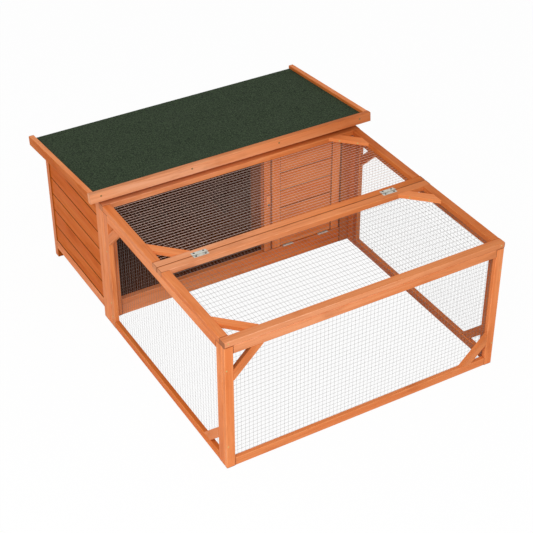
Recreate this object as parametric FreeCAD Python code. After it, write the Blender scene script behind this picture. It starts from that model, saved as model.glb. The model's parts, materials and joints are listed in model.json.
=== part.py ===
import FreeCAD, Part
import math
import os

V = FreeCAD.Vector

# Small animal hutch: a boarded house at the back, a wire run with a lid in front.
# Millimetres, +X to the right, +Y to the back, +Z up, origin under the middle.

# Block of the run and the house
BODY_W = 925.0
RUN_D = 790.0
RUN_H = 448.0
LID_D = 395.0
HOUSE_D = 430.0

# Timber of the run frames
FRAME_W = 27.0
FRAME_T = 15.0
CORNER_W = 32.0
TOP_T = 18.0
LINK_D = 28.0
BRACE_IN = 54.0
BRACE_IN_REAR = 43.0
BRACE_W = 27.5
BRACE_T = 12.0
EDGE = 1.5

# Wire nets, drawn with wide gaps
NET_PITCH = 40.0
NET_WIRE = 1.2
NET_INSET = 2.5
NET_LAP = 6.0

# House front
HOUSE_T = 20.0
STILE_W = 50.0
STILE_T = 27.0
SILL_H = 60.0
MULLION_W = 27.0
DOOR_W = 264.5
DOOR_T = 18.0
DOOR_STILE_W = 33.0
DOOR_GAP_SIDE = 4.0
DOOR_GAP_SILL = 1.5
DOOR_GAP_TOP = 6.0

# House walls and floor
POST_T = 20.0
POST_D = 25.0
BASE_Z = 35.0
BASE_H = 32.0
BOARD_W = 63.0
BOARD_T = 12.0
BOARD_STEP = 3.0
BOARD_V = 2.0
DOOR_BOARD_W = 67.0
DOOR_TOP_BOARD_W = 75.0
BACK_RAIL_H = 27.0
FLOOR_T = 8.0
PARTITION_T = 12.0
POPHOLE_W = 184.0
POPHOLE_Y = 112.0
POPHOLE_TOP = 345.0

# Roof
ROOF_SIDE_LAP = 37.5
ROOF_FRONT_LAP = 30.0
ROOF_REAR_LAP = 30.0
ROOF_CLEAR = 20.0
ROOF_DEG = 5.0
BATTEN_H = 32.0
BATTEN_T = 18.0
FELT_DROP = 10.0
FELT_T = 2.5
DECK_T = 9.0
DECK_SHORT = 4.0

# Hinges
BARREL_R = 2.2
PIN_R = 1.1
PIN_PLAY = 0.05
LEAF_T = 1.2
LEAF_OFF = 2.5
EDGE_LEAF_T = 0.6
KNUCKLE_GAP = 0.3
LID_HINGE_X = 325.0
LID_HINGE_L = 49.0
LID_LEAF_W = 12.5
DOOR_HINGE_X = 69.0
DOOR_HINGE_L = 38.0
DOOR_LEAF_W = 17.0
ROOF_HINGE_X = 320.0
ROOF_HINGE_L = 60.0
ROOF_LEAF_W = 20.0

# Turn button on the mullion
BUTTON_Z = 250.0
BUTTON_ARM = 36.0
BUTTON_TAIL = 9.0
BUTTON_R = 7.0
BUTTON_T = 9.0
SCREW_R = 2.0
SCREW_HEAD_R = 4.0
SCREW_HEAD_T = 1.8

# Clearances between pieces that move against each other
SEAT = 0.4
LID_GAP = 1.0

# Derived places
HALF = BODY_W / 2.0
OVERALL_D = RUN_D + HOUSE_D + ROOF_REAR_LAP
Y0 = -OVERALL_D / 2.0
HOUSE_Y = Y0 + RUN_D
BACK_Y = HOUSE_Y + HOUSE_D
PANEL_H = RUN_H - TOP_T
INNER = HALF - FRAME_T
SIDE_END = RUN_D - LINK_D
SLOPE = math.radians(ROOF_DEG)
ROOF_TOP = RUN_H + ROOF_CLEAR + BATTEN_H
ROOF_HALF = HALF + ROOF_SIDE_LAP
ROOF_Y = HOUSE_Y - ROOF_FRONT_LAP
ROOF_LEN = (ROOF_FRONT_LAP + HOUSE_D + ROOF_REAR_LAP) / math.cos(SLOPE)
DECK_TOP = FELT_DROP + FELT_T
DECK_LOW = DECK_TOP + DECK_T
DOOR_X1 = HALF - STILE_W - DOOR_GAP_SIDE
DOOR_X0 = DOOR_X1 - DOOR_W
MULLION_X1 = DOOR_X0 - DOOR_GAP_SIDE
MULLION_X0 = MULLION_X1 - MULLION_W
DOOR_Z0 = SILL_H + DOOR_GAP_SILL
DOOR_Z1 = PANEL_H - DOOR_GAP_TOP


class Plane:
    """A flat panel's own directions: u along, v up or back, w in from its outer face."""

    def __init__(self, origin, u, v, w):
        self.origin = origin
        self.u = u
        self.v = v
        self.w = w

    def at(self, u, v, w):
        return self.origin + self.u * u + self.v * v + self.w * w

    def face(self, points, w):
        ring = [self.at(u, v, w) for u, v in points]
        return Part.Face(Part.makePolygon(ring + ring[:1]))

    def prism(self, points, w0, w1):
        return upright(self.face(points, w0).extrude(self.w * (w1 - w0)))

    def block(self, u0, u1, v0, v1, w0, w1):
        return self.prism([(u0, v0), (u1, v0), (u1, v1), (u0, v1)], w0, w1)

    def stick(self, u0, u1, v0, v1, w0, w1, along):
        """Timber with its long edges eased, running along u or along v."""
        if along == "u":
            a0, a1 = v0, v1
        else:
            a0, a1 = u0, u1
        section = [
            (a0 + EDGE, w0),
            (a1 - EDGE, w0),
            (a1, w0 + EDGE),
            (a1, w1 - EDGE),
            (a1 - EDGE, w1),
            (a0 + EDGE, w1),
            (a0, w1 - EDGE),
            (a0, w0 + EDGE),
        ]
        if along == "u":
            ring = [self.at(u0, a, w) for a, w in section]
            sweep = self.u * (u1 - u0)
        else:
            ring = [self.at(a, v0, w) for a, w in section]
            sweep = self.v * (v1 - v0)
        end = Part.Face(Part.makePolygon(ring + ring[:1]))
        return upright(end.extrude(sweep))

    def brace(self, u, v, su, sv, near=BRACE_IN):
        """Slanted stick across the corner at (u, v), opening towards (su, sv)."""
        far = near + BRACE_W * math.sqrt(2.0)
        points = [(u + su * near, v), (u + su * far, v), (u, v + sv * far), (u, v + sv * near)]
        return self.prism(points, 0.0, BRACE_T)

    def net(self, u0, u1, v0, v1, w0):
        """Welded net as one holed sheet with square gaps."""
        nu = max(2, int(round((u1 - u0) / NET_PITCH)))
        nv = max(2, int(round((v1 - v0) / NET_PITCH)))
        du = (u1 - u0 - NET_WIRE) / nu
        dv = (v1 - v0 - NET_WIRE) / nv
        rings = [[(u0, v0), (u1, v0), (u1, v1), (u0, v1)]]
        for i in range(nu):
            for j in range(nv):
                a = u0 + NET_WIRE + i * du
                b = v0 + NET_WIRE + j * dv
                c = a + du - NET_WIRE
                d = b + dv - NET_WIRE
                rings.append([(a, b), (a, d), (c, d), (c, b)])
        wires = []
        for ring in rings:
            points = [self.at(u, v, w0) for u, v in ring]
            wires.append(Part.makePolygon(points + points[:1]))
        sheet = Part.Face(wires)
        return upright(sheet.extrude(self.w * NET_WIRE))

    def boards(self, u0, u1, edges, w0):
        """Boards along u with a V groove at each shared edge."""
        out = []
        for low, high in zip(edges, edges[1:]):
            section = [
                (low + BOARD_V, w0),
                (high - BOARD_V, w0),
                (high, w0 + BOARD_V),
                (high, w0 + BOARD_T),
                (low, w0 + BOARD_T),
                (low, w0 + BOARD_V),
            ]
            ring = [self.at(u0, v, w) for v, w in section]
            side = Part.Face(Part.makePolygon(ring + ring[:1]))
            out.append(upright(side.extrude(self.u * (u1 - u0))))
        return out


def upright(solid):
    """Turn an extruded solid the right way out."""
    if solid.Volume < 0.0:
        solid.reverse()
    return solid


def group(solids):
    """One solid as it is, several as one compound."""
    if len(solids) == 1:
        return solids[0]
    return Part.makeCompound(solids)


def steps(low, high, first, pitch, least):
    """Board edges from low to high, with the first joint at first."""
    edges = [low]
    edge = first
    while edge < high - least:
        edges.append(edge)
        edge += pitch
    edges.append(high)
    return edges


X = V(1, 0, 0)
Y = V(0, 1, 0)
Z = V(0, 0, 1)

FRONT = Plane(V(0, Y0, 0), X, Z, Y)
LEFT = Plane(V(-HALF, Y0, 0), Y, Z, X)
RIGHT = Plane(V(HALF, Y0, 0), Y, Z, X * -1.0)
TOP = Plane(V(0, Y0, RUN_H), X, Y, Z * -1.0)
HOUSE = Plane(V(0, HOUSE_Y, 0), X, Z, Y)
BACK = Plane(V(0, BACK_Y, 0), X, Z, Y * -1.0)
FLOOR = Plane(V(0, HOUSE_Y, BASE_Z), X, Y, Z)
INSIDE = Plane(V(MULLION_X1 - PARTITION_T, HOUSE_Y, 0), Y, Z, X)
DOWN_SLOPE = V(0, math.cos(SLOPE), -math.sin(SLOPE))
ROOF_NORMAL = V(0, math.sin(SLOPE), math.cos(SLOPE))
ROOF = Plane(V(0, ROOF_Y, ROOF_TOP), X, DOWN_SLOPE, ROOF_NORMAL * -1.0)

nodes = {}


def under_roof(solid):
    """Cut a wall piece along the slope under the roof deck."""
    reach = 2.0 * OVERALL_D
    above = ROOF.block(-reach, reach, -reach, reach, -reach, DECK_LOW + SEAT)
    return solid.cut(above).Solids[0]


def upright_frame(name, plane, u0, u1, first, second, first_w):
    """Side or front panel: full height stiles with the rails between them."""
    inner0 = u0 + first_w
    inner1 = u1 - FRAME_W
    nodes[name + "_stile_" + first] = plane.stick(u0, inner0, 0.0, PANEL_H, 0.0, FRAME_T, "v")
    nodes[name + "_stile_" + second] = plane.stick(inner1, u1, 0.0, PANEL_H, 0.0, FRAME_T, "v")
    nodes[name + "_top_rail"] = plane.stick(inner0, inner1, PANEL_H - FRAME_W, PANEL_H, 0.0, FRAME_T, "u")
    nodes[name + "_bottom_rail"] = plane.stick(inner0, inner1, 0.0, FRAME_W, 0.0, FRAME_T, "u")


def flat_frame(name, v0, v1, thick):
    """Top panel: full width front and rear rails with the side rails between them."""
    nodes[name + "_front_rail"] = TOP.stick(-HALF, HALF, v0, v0 + FRAME_W, 0.0, thick, "u")
    nodes[name + "_rear_rail"] = TOP.stick(-HALF, HALF, v1 - FRAME_W, v1, 0.0, thick, "u")
    low = v0 + FRAME_W
    high = v1 - FRAME_W
    left = TOP.stick(-HALF, -HALF + FRAME_W, low, high, 0.0, thick, "v")
    right = TOP.stick(HALF - FRAME_W, HALF, low, high, 0.0, thick, "v")
    nodes[name + "_side_rails"] = group([left, right])
    near = TOP.brace(-HALF + FRAME_W, low, 1, 1)
    far = TOP.brace(HALF - FRAME_W, high, -1, -1)
    nodes[name + "_braces"] = group([near, far])


def build_run():
    """Front, left and right panels, the fixed top panel and the posts at the house."""
    rail_top = PANEL_H - FRAME_W
    net_top = PANEL_H - NET_LAP
    upright_frame("front", FRONT, -HALF, HALF, "left", "right", FRAME_W)
    upper = FRONT.brace(-HALF + FRAME_W, rail_top, 1, -1)
    lower = FRONT.brace(HALF - FRAME_W, FRAME_W, -1, 1)
    nodes["front_braces"] = group([upper, lower])
    half_net = INNER - NET_INSET
    nodes["front_net"] = FRONT.net(-half_net, half_net, NET_LAP, net_top, FRAME_T)
    for name, plane in (("left", LEFT), ("right", RIGHT)):
        upright_frame(name, plane, FRAME_T, SIDE_END, "front", "rear", CORNER_W)
        upper = plane.brace(SIDE_END - FRAME_W, rail_top, -1, -1, BRACE_IN_REAR)
        lower = plane.brace(FRAME_T + CORNER_W, FRAME_W, 1, 1)
        nodes[name + "_braces"] = group([upper, lower])
        start = FRAME_T + NET_INSET
        nodes[name + "_net"] = plane.net(start, SIDE_END - NET_LAP, NET_LAP, net_top, FRAME_T)
    posts = [p.stick(SIDE_END, RUN_D, 0.0, PANEL_H, 0.0, FRAME_T, "v") for p in (LEFT, RIGHT)]
    nodes["run_posts"] = group(posts)
    top_start = LID_D + LID_GAP
    flat_frame("top", top_start, RUN_D, TOP_T)
    nodes["top_net"] = TOP.net(-half_net, half_net, top_start + NET_LAP, RUN_D - NET_INSET, TOP_T)


def build_lid():
    """Front half of the run's top, lifted about its rear edge."""
    thick = TOP_T - SEAT
    half_net = INNER - NET_INSET
    flat_frame("lid", 0.0, LID_D, thick)
    nodes["lid_net"] = TOP.net(-half_net, half_net, FRAME_T + NET_INSET, LID_D - NET_LAP, thick)


def build_house():
    """Front frame with a netted window, boarded walls and the floor."""
    tall = ROOF_TOP + BATTEN_H
    inner = HALF - STILE_W
    nodes["house_stile_left"] = under_roof(HOUSE.stick(-HALF, -inner, 0.0, tall, 0.0, STILE_T, "v"))
    nodes["house_stile_right"] = under_roof(HOUSE.stick(inner, HALF, 0.0, tall, 0.0, STILE_T, "v"))
    nodes["house_top_rail"] = under_roof(HOUSE.block(-inner, inner, PANEL_H, tall, 0.0, HOUSE_T))
    nodes["house_sill"] = HOUSE.stick(-inner, inner, 0.0, SILL_H, 0.0, HOUSE_T, "u")
    nodes["house_mullion"] = HOUSE.stick(MULLION_X0, MULLION_X1, SILL_H, PANEL_H, 0.0, HOUSE_T, "v")
    net_x1 = MULLION_X0 + NET_LAP
    net_z0 = BASE_Z + FLOOR_T + NET_LAP
    nodes["window_net"] = HOUSE.net(-inner, net_x1, net_z0, PANEL_H + NET_LAP, HOUSE_T)

    wall_in = HALF - POST_T
    u0 = RUN_D + STILE_T
    u1 = RUN_D + HOUSE_D - POST_D
    board_z = BASE_Z + BASE_H
    wall_top = ROOF_TOP - DECK_LOW
    edges = steps(board_z, wall_top, board_z + BOARD_W, BOARD_W, BOARD_STEP)
    posts = []
    rails = []
    for name, plane in (("left", LEFT), ("right", RIGHT)):
        posts.append(under_roof(plane.stick(u1, u1 + POST_D, 0.0, tall, 0.0, POST_T, "v")))
        rails.append(plane.stick(u0, u1, BASE_Z, board_z, 0.0, POST_T, "u"))
        boards = plane.boards(u0, u1, edges, BOARD_STEP)
        nodes["wall_boards_" + name] = group([under_roof(board) for board in boards])
    rails.append(BACK.stick(-wall_in, wall_in, BASE_Z, board_z, 0.0, POST_T, "u"))
    nodes["house_rear_posts"] = group(posts)
    nodes["house_base_rails"] = group(rails)
    rear_top = ROOF_TOP - (ROOF_FRONT_LAP + HOUSE_D) * math.tan(SLOPE) - DECK_LOW / math.cos(SLOPE)
    rail_z = rear_top - BACK_RAIL_H
    nodes["back_top_rail"] = under_roof(BACK.block(-wall_in, wall_in, rail_z, tall, 0.0, POST_T))
    back_edges = steps(board_z, rail_z, board_z + BOARD_W, BOARD_W, BOARD_W / 3.0)
    nodes["back_boards"] = group(BACK.boards(-wall_in, wall_in, back_edges, BOARD_STEP))
    floor_end = HOUSE_D - POST_D
    nodes["house_floor"] = FLOOR.block(-wall_in, wall_in, STILE_T, floor_end, 0.0, FLOOR_T)
    build_partition()


def build_partition():
    """Wall across the house behind the mullion, with a pop hole down to the floor."""
    low = BASE_Z + FLOOR_T
    tall = ROOF_TOP + BATTEN_H
    start = HOUSE_T
    end = HOUSE_D - POST_T
    hole_end = POPHOLE_Y + POPHOLE_W
    front = INSIDE.block(start, POPHOLE_Y, low, tall, 0.0, PARTITION_T)
    rear = INSIDE.block(hole_end, end, low, tall, 0.0, PARTITION_T)
    header = INSIDE.block(POPHOLE_Y, hole_end, POPHOLE_TOP, tall, 0.0, PARTITION_T)
    nodes["house_partition"] = group([under_roof(board) for board in (front, rear, header)])


def build_door():
    """Boarded door between two stiles, hung at its lower edge and let down as a ramp."""
    left_in = DOOR_X0 + DOOR_STILE_W
    right_in = DOOR_X1 - DOOR_STILE_W
    nodes["door_stile_left"] = HOUSE.stick(DOOR_X0, left_in, DOOR_Z0, DOOR_Z1, 0.0, DOOR_T, "v")
    nodes["door_stile_right"] = HOUSE.stick(right_in, DOOR_X1, DOOR_Z0, DOOR_Z1, 0.0, DOOR_T, "v")
    first = DOOR_Z1 - DOOR_TOP_BOARD_W
    drop = DOOR_BOARD_W * math.floor((first - DOOR_Z0 - DOOR_BOARD_W) / DOOR_BOARD_W)
    edges = steps(DOOR_Z0, DOOR_Z1, first - drop, DOOR_BOARD_W, DOOR_BOARD_W / 2.0)
    nodes["door_boards"] = group(HOUSE.boards(left_in, right_in, edges, BOARD_STEP))


def build_roof():
    """Felted deck with battens along its front and sides."""
    inner = ROOF_HALF - BATTEN_T
    deck_end = ROOF_LEN - DECK_SHORT
    nodes["roof_front_batten"] = ROOF.stick(-ROOF_HALF, ROOF_HALF, 0.0, BATTEN_T, 0.0, BATTEN_H, "u")
    left = ROOF.stick(-ROOF_HALF, -inner, BATTEN_T, ROOF_LEN, 0.0, BATTEN_H, "v")
    right = ROOF.stick(inner, ROOF_HALF, BATTEN_T, ROOF_LEN, 0.0, BATTEN_H, "v")
    nodes["roof_side_battens"] = group([left, right])
    nodes["roof_deck"] = ROOF.block(-inner, inner, BATTEN_T, deck_end, DECK_TOP, DECK_LOW)
    nodes["roof_felt"] = ROOF.block(-inner, inner, BATTEN_T, deck_end, FELT_DROP, DECK_TOP)


def hinge_leaf(origin, along, out, lift, length, width, offset, thick, inner):
    """Leaf with its knuckles round the axis at origin; inner takes the middle knuckle."""
    plane = Plane(origin, along, out, lift)
    half = length / 2.0
    third = length / 6.0
    if inner:
        spans = [(-third + KNUCKLE_GAP, third - KNUCKLE_GAP)]
    else:
        spans = [(-half, -third), (third, half)]
    clear = BARREL_R + SEAT
    leaf = plane.block(-half, half, clear, width, -offset, thick - offset)
    bore = PIN_R + PIN_PLAY
    for a, b in spans:
        start = origin + along * a
        leaf = leaf.fuse(plane.block(a, b, 0.0, clear, -offset, thick - offset))
        leaf = leaf.fuse(Part.makeCylinder(BARREL_R, b - a, start, along))
    for a, b in spans:
        start = origin + along * (a - 1.0)
        leaf = leaf.cut(Part.makeCylinder(bore, b - a + 2.0, start, along))
    return leaf.removeSplitter().Solids[0]


def hinge_pin(origin, along, length):
    """Pin through all the knuckles of one hinge."""
    return Part.makeCylinder(PIN_R, length, origin - along * (length / 2.0), along)


def build_hinges():
    """Two hinges each on the lid, the door and the roof."""
    fixed = []
    pins = []

    lid_leaves = []
    seam = Y0 + LID_D + LID_GAP / 2.0
    for side in (-1, 1):
        place = V(side * LID_HINGE_X, seam, RUN_H + LEAF_OFF)
        size = (LID_HINGE_L, LID_LEAF_W, LEAF_OFF, LEAF_T)
        fixed.append(hinge_leaf(place, X, Y, Z, *size, False))
        lid_leaves.append(hinge_leaf(place, X, Y * -1.0, Z, *size, True))
        pins.append(hinge_pin(place, X, LID_HINGE_L))
    nodes["lid_hinge_leaves"] = group(lid_leaves)

    door_leaves = []
    half_gap = DOOR_GAP_SILL / 2.0
    door_mid = (DOOR_X0 + DOOR_X1) / 2.0
    for side in (-1, 1):
        place = V(door_mid + side * DOOR_HINGE_X, HOUSE_Y - LEAF_OFF, SILL_H + half_gap)
        size = (DOOR_HINGE_L, DOOR_LEAF_W, half_gap, EDGE_LEAF_T)
        fixed.append(hinge_leaf(place, X, Y, Z, *size, False))
        door_leaves.append(hinge_leaf(place, X, Y, Z * -1.0, *size, True))
        pins.append(hinge_pin(place, X, DOOR_HINGE_L))
    nodes["door_hinge_leaves"] = group(door_leaves)

    roof_leaves = []
    for side in (-1, 1):
        place = roof_axis(side * ROOF_HINGE_X)
        size = (ROOF_HINGE_L, ROOF_LEAF_W, LEAF_OFF, LEAF_T)
        fixed.append(hinge_leaf(place, X, Z * -1.0, Y, *size, False))
        roof_leaves.append(hinge_leaf(place, X, DOWN_SLOPE, ROOF_NORMAL * -1.0, *size, True))
        pins.append(hinge_pin(place, X, ROOF_HINGE_L))
    nodes["roof_hinge_leaves"] = group(roof_leaves)

    nodes["hinge_fixed_leaves"] = group(fixed)
    nodes["hinge_pins"] = group(pins)


def roof_axis(x):
    """Axis point behind the back wall and under the roof deck."""
    y = BACK_Y + LEAF_OFF
    run = y - ROOF_Y
    z = ROOF_TOP - run * math.tan(SLOPE) - (DECK_LOW + LEAF_OFF) / math.cos(SLOPE)
    return V(x, y, z)


def build_button():
    """Wooden turn button on its screw, with the arm upright, clear of the door."""
    x = (MULLION_X0 + MULLION_X1) / 2.0
    back = HOUSE_Y - SEAT
    front = back - BUTTON_T
    low = BUTTON_Z - BUTTON_TAIL + BUTTON_R
    high = BUTTON_Z + BUTTON_ARM - BUTTON_R
    arm = Part.makeBox(2.0 * BUTTON_R, BUTTON_T, high - low, V(x - BUTTON_R, front, low))
    for end in (low, high):
        arm = arm.fuse(Part.makeCylinder(BUTTON_R, BUTTON_T, V(x, front, end), Y))
    hole = Part.makeCylinder(SCREW_R + PIN_PLAY, BUTTON_T + 2.0, V(x, front - 1.0, BUTTON_Z), Y)
    nodes["turn_button"] = arm.cut(hole).removeSplitter().Solids[0]
    head_y = front - SEAT - SCREW_HEAD_T
    shank = Part.makeCylinder(SCREW_R, HOUSE_Y - head_y, V(x, head_y, BUTTON_Z), Y)
    head = Part.makeCylinder(SCREW_HEAD_R, SCREW_HEAD_T, V(x, head_y, BUTTON_Z), Y)
    nodes["turn_button_screw"] = shank.fuse(head).removeSplitter().Solids[0]


def main():
    build_run()
    build_lid()
    build_house()
    build_door()
    build_roof()
    build_hinges()
    build_button()
    os.makedirs("parts", exist_ok=True)
    for name, shape in nodes.items():
        shape.exportStep("parts/" + name + ".step")
        if not shape.isValid():
            print("not valid:", name)
    box = Part.makeCompound(list(nodes.values())).BoundBox
    print(len(nodes), "nodes, box", box)


main()
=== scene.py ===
"""Looks of the small animal hutch: stained timber, welded wire, roof felt, zinc fittings, plain studio."""

import json
import logging
import math
from dataclasses import dataclass, field
from enum import Enum
from typing import Any, Callable, Sequence

import bpy
from mathutils import Matrix, Vector


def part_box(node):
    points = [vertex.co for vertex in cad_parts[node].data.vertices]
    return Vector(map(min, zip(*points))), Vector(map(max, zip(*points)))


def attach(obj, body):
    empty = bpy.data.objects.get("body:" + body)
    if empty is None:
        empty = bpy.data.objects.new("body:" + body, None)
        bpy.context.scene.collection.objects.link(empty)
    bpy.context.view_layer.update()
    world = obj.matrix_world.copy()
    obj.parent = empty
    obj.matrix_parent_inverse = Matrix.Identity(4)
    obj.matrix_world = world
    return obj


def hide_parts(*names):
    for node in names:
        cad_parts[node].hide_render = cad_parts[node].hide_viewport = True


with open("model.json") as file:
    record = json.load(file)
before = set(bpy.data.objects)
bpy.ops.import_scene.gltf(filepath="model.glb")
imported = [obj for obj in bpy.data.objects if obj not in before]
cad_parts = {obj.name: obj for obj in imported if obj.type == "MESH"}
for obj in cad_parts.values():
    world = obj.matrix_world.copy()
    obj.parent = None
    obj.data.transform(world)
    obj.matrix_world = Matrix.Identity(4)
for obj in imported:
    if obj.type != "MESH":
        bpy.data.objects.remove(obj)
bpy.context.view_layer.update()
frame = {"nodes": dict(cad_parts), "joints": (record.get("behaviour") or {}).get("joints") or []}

log = logging.getLogger("hutch")

Triple = tuple[float, float, float]
Pair = tuple[float, float]
Range = tuple[float, float, float, float]
Colour = tuple[int, int, int]
Places = list[tuple[Triple, Triple]]
FaceTest = Callable[[Vector, Vector], bool]
Socket = bpy.types.NodeSocket

FRONT: Triple = (0.0, -1.0, 0.0)
BACK: Triple = (0.0, 1.0, 0.0)
LEFT: Triple = (-1.0, 0.0, 0.0)
RIGHT: Triple = (1.0, 0.0, 0.0)
UP: Triple = (0.0, 0.0, 1.0)
BOTH_SIDES: Pair = (-1.0, 1.0)
SQUARE_ON = 0.9


def shade(colour: Colour) -> tuple[float, float, float, float]:
    """Turn a colour as the eye reads it into the linear colour that the nodes take.

    Args:
        colour: Red, green and blue, 0 to 255.

    Returns:
        Linear red, green and blue, and a full alpha.
    """
    parts = [value / 255.0 for value in colour]
    linear = [part / 12.92 if part <= 0.04045 else ((part + 0.055) / 1.055) ** 2.4 for part in parts]
    return (linear[0], linear[1], linear[2], 1.0)


def looks(way: Triple, share: float = SQUARE_ON) -> FaceTest:
    """Make a test for the faces that look one way.

    Args:
        way: The direction, of length one.
        share: How squarely a face must look that way, up to 1.

    Returns:
        The test, which takes a face's centre and normal.
    """
    out = Vector(way)
    return lambda centre, normal: normal.dot(out) > share


def on_right(centre: Vector, normal: Vector) -> bool:
    """Tell whether a face lies on the hutch's right half."""
    return centre.x > 0.0


class Body(Enum):
    """The bodies that new pieces ride on."""

    HUTCH = "hutch"
    LID = "lid"
    DOOR = "door"
    ROOF = "roof"


class Slot(Enum):
    """The record's material slots that new pieces are passed with."""

    WIRE = "wire"
    ZINC = "zinc"


class Side(Enum):
    """The run's two sides, as their nodes' names have them."""

    LEFT = "left"
    RIGHT = "right"


class Grain(Enum):
    """Which way a stick's grain runs, as the turn in degrees that lays it along X."""

    ALONG_X = (0.0, 0.0, 0.0)
    ALONG_Y = (0.0, 0.0, -90.0)
    UPRIGHT = (0.0, 90.0, 0.0)
    FRONT_BRACE = (0.0, 45.0, 0.0)
    SIDE_BRACE = (45.0, 0.0, -90.0)
    TOP_BRACE = (0.0, 0.0, 45.0)

    def turn(self) -> Triple:
        """Give the turn in radians."""
        return tuple(math.radians(angle) for angle in self.value)


class Axis(Enum):
    """One of the three directions of the frame."""

    X = 0
    Y = 1
    Z = 2

    def unit(self) -> Vector:
        """Give the direction as a vector of length one."""
        return Vector(tuple(1.0 if i == self.value else 0.0 for i in range(3)))


class Graph:
    """A node tree with short calls for the nodes that the finishes use."""

    FIRST_COLOUR = 6
    SECOND_COLOUR = 7
    MIXED_COLOUR = 2

    def __init__(self, tree: bpy.types.NodeTree) -> None:
        """Take over a tree and empty it."""
        self.tree = tree
        tree.nodes.clear()

    def node(self, kind: str, inputs: dict[Any, Any] | None = None, **settings: Any) -> bpy.types.Node:
        """Add a node.

        Args:
            kind: The node's type without its prefix.
            inputs: Values or sockets for its inputs, by name or number.
            settings: Properties of the node itself.

        Returns:
            The new node.
        """
        made = self.tree.nodes.new("ShaderNode" + kind)
        for name, value in settings.items():
            setattr(made, name, value)
        for key, value in (inputs or {}).items():
            self.put(made.inputs[key], value)
        return made

    def put(self, socket: Socket, value: Any) -> None:
        """Link a socket into another, or set the plain value.

        Args:
            socket: The input.
            value: The socket to link from, or the plain value.
        """
        if isinstance(value, bpy.types.NodeSocket):
            self.tree.links.new(value, socket)
        else:
            socket.default_value = value

    def math(self, operation: str, *values: Any) -> Socket:
        """Combine numbers with one Math node."""
        return self.node("Math", dict(enumerate(values)), operation=operation).outputs[0]

    def vector(self, operation: str, *values: Any) -> Socket:
        """Combine vectors with one Vector Math node."""
        return self.node("VectorMath", dict(enumerate(values)), operation=operation).outputs["Vector"]

    def scaled(self, vector: Any, factor: Any) -> Socket:
        """Scale a vector by a number."""
        return self.node("VectorMath", {0: vector, "Scale": factor}, operation="SCALE").outputs["Vector"]

    def span(self, value: Any, low: float, high: float, start: float = 0.0, end: float = 1.0) -> Socket:
        """Map a number smoothly from low..high to start..end.

        Args:
            value: The number's socket.
            low, high: The range that is read.
            start, end: The range that is given.

        Returns:
            The mapped number.
        """
        inputs = {"Value": value, "From Min": low, "From Max": high, "To Min": start, "To Max": end}
        return self.node("MapRange", inputs, interpolation_type="SMOOTHSTEP").outputs["Result"]

    def mix(self, factor: Any, first: Any, second: Any) -> Socket:
        """Mix two colours.

        Args:
            factor: Share of the second colour.
            first, second: The colours.

        Returns:
            The mixed colour.
        """
        inputs = {"Factor": factor, self.FIRST_COLOUR: first, self.SECOND_COLOUR: second}
        return self.node("Mix", inputs, data_type="RGBA").outputs[self.MIXED_COLOUR]

    def noise(self, place: Any, scale: float, detail: float = 2.0, rough: float = 0.5) -> Socket:
        """Give a smooth random number from 0 to 1 at a place.

        Args:
            place: The place's vector.
            scale: Cells to a metre of that vector.
            detail: Finer layers that are added.
            rough: How strong the finer layers are.

        Returns:
            The number.
        """
        inputs = {"Vector": place, "Scale": scale, "Detail": detail, "Roughness": rough}
        return self.node("TexNoise", inputs).outputs["Fac"]


class EffectGroup:
    """A shared effect as a shader node group with named sockets."""

    def __init__(self, name: str, takes: dict[str, str], gives: dict[str, str]) -> None:
        """Make the group and its sockets.

        Args:
            name: The group's name.
            takes: Kind of each input socket, by name.
            gives: Kind of each output socket, by name.
        """
        self.tree = bpy.data.node_groups.new(name, "ShaderNodeTree")
        for socket, kind in takes.items():
            self.tree.interface.new_socket(socket, in_out="INPUT", socket_type="NodeSocket" + kind)
        for socket, kind in gives.items():
            self.tree.interface.new_socket(socket, in_out="OUTPUT", socket_type="NodeSocket" + kind)
        self.graph = Graph(self.tree)
        self.taken = self.tree.nodes.new("NodeGroupInput").outputs
        self.given = self.tree.nodes.new("NodeGroupOutput").inputs

    def give(self, socket: str, value: Socket) -> None:
        """Link a result to one of the group's outputs."""
        self.graph.put(self.given[socket], value)

    def place(self, graph: Graph, values: dict[str, Any]) -> bpy.types.bpy_prop_collection:
        """Put the group into a material.

        Args:
            graph: The material's graph.
            values: Values or sockets for the group's inputs.

        Returns:
            The group's outputs.
        """
        return graph.node("Group", values, node_tree=self.tree).outputs


@dataclass(frozen=True)
class WoodColours:
    """Colours of one kind of softwood, as the eye reads them."""

    pale: Colour
    mid: Colour
    deep: Colour
    worn: Colour


# The worn colours lighten the edges, as wear and as a painted highlight on the arrises.
BARE = WoodColours((214, 178, 128), (196, 156, 104), (150, 108, 66), (222, 190, 146))
STAINED = WoodColours((232, 144, 87), (222, 125, 66), (164, 74, 26), (240, 166, 114))


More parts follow.
